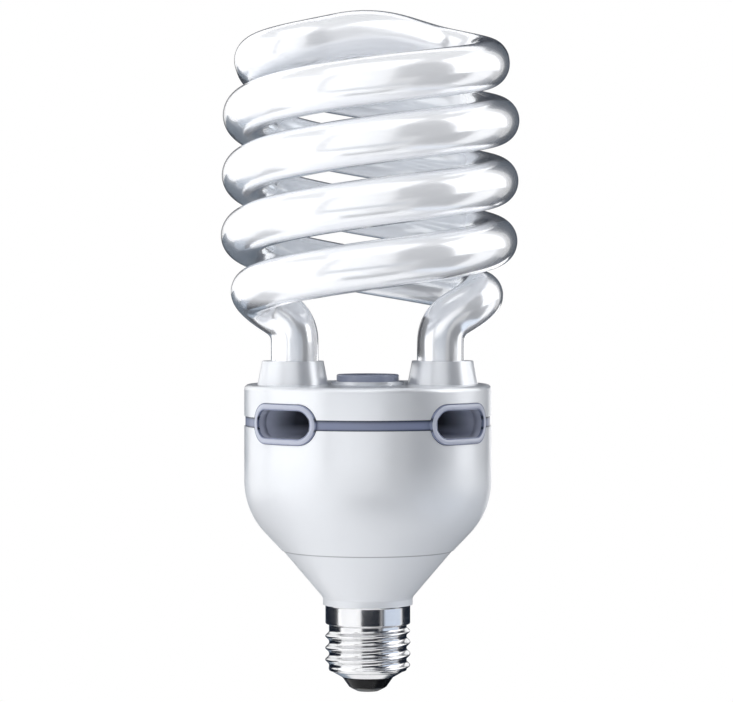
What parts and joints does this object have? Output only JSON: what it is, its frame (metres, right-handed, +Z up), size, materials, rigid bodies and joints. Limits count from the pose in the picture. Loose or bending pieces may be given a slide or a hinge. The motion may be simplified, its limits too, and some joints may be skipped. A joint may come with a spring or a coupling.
{
  "type": "spiral energy saving bulb",
  "caption": "High-output spiral compact fluorescent bulb with a vented white ballast housing and a standard screw cap.",
  "frame": {"origin": "middle of the centre contact's face, at the bottom of the screw cap", "axes": "+Z up the lamp's axis from the cap towards the spiral tube; the tube's two legs stand on the X axis; -Y faces the camera of the picture"},
  "size_m": [0.0913, 0.0912, 0.2084],
  "materials": {
    "cap_metal": "nickel-plated, bright",
    "contact_metal": "tinned and dulled",
    "cap_insulator": "black glass-like insulator, glossy",
    "housing_plastic": "white, satin gloss",
    "duct_plastic": "blue-grey, satin",
    "lamp_glass": "clear glass over a white phosphor coating",
    "cement": "off-white silicone",
    "board": "phenolic board",
    "capacitor_sleeve": "printed sleeve without marks",
    "film_case": "dipped film capacitor",
    "ferrite": "sintered ferrite",
    "magnet_wire": "enamelled copper",
    "epoxy": "moulded epoxy",
    "resistor_body": "lacquered",
    "thermistor_body": "dipped disc",
    "wire": "tinned wire",
    "insulated_wire": "white sleeve"
  },
  "bodies": {
    "root": {"air_duct": "duct_plastic", "base_resistor": "resistor_body", "bulk_capacitor": "capacitor_sleeve", "cap_insulator": "cap_insulator", "cap_shell": "cap_metal", "centre_contact": "contact_metal", "choke_core": "ferrite", "choke_winding": "magnet_wire", "circuit_board": "board", "contact_wire": "insulated_wire", "coupling_capacitor": "film_case", "diac": "resistor_body", "drive_toroid_core": "ferrite", "drive_toroid_winding_1": "magnet_wire", "drive_toroid_winding_2": "magnet_wire", "drive_toroid_winding_3": "magnet_wire", "filter_choke_core": "ferrite", "filter_choke_winding": "magnet_wire", "fuse_resistor": "resistor_body", "input_capacitor": "film_case", "lower_bowl": "housing_plastic", "neck_cone": "housing_plastic", "rectifier_diode_1": "epoxy", "rectifier_diode_2": "epoxy", "rectifier_diode_3": "epoxy", "rectifier_diode_4": "epoxy", "shell_wire": "insulated_wire", "spiral_tube": "lamp_glass", "start_capacitor": "film_case", "start_resistor": "resistor_body", "thermistor": "thermistor_body", "transistor_high": "epoxy", "transistor_low": "epoxy", "tube_cement_left": "cement", "tube_cement_right": "cement", "tube_lead_1": "wire", "tube_lead_2": "wire", "tube_lead_3": "wire", "tube_lead_4": "wire", "upper_cover": "housing_plastic", "wrap_pin_1": "wire", "wrap_pin_2": "wire", "wrap_pin_3": "wire", "wrap_pin_4": "wire"}
  },
  "joints": []
}
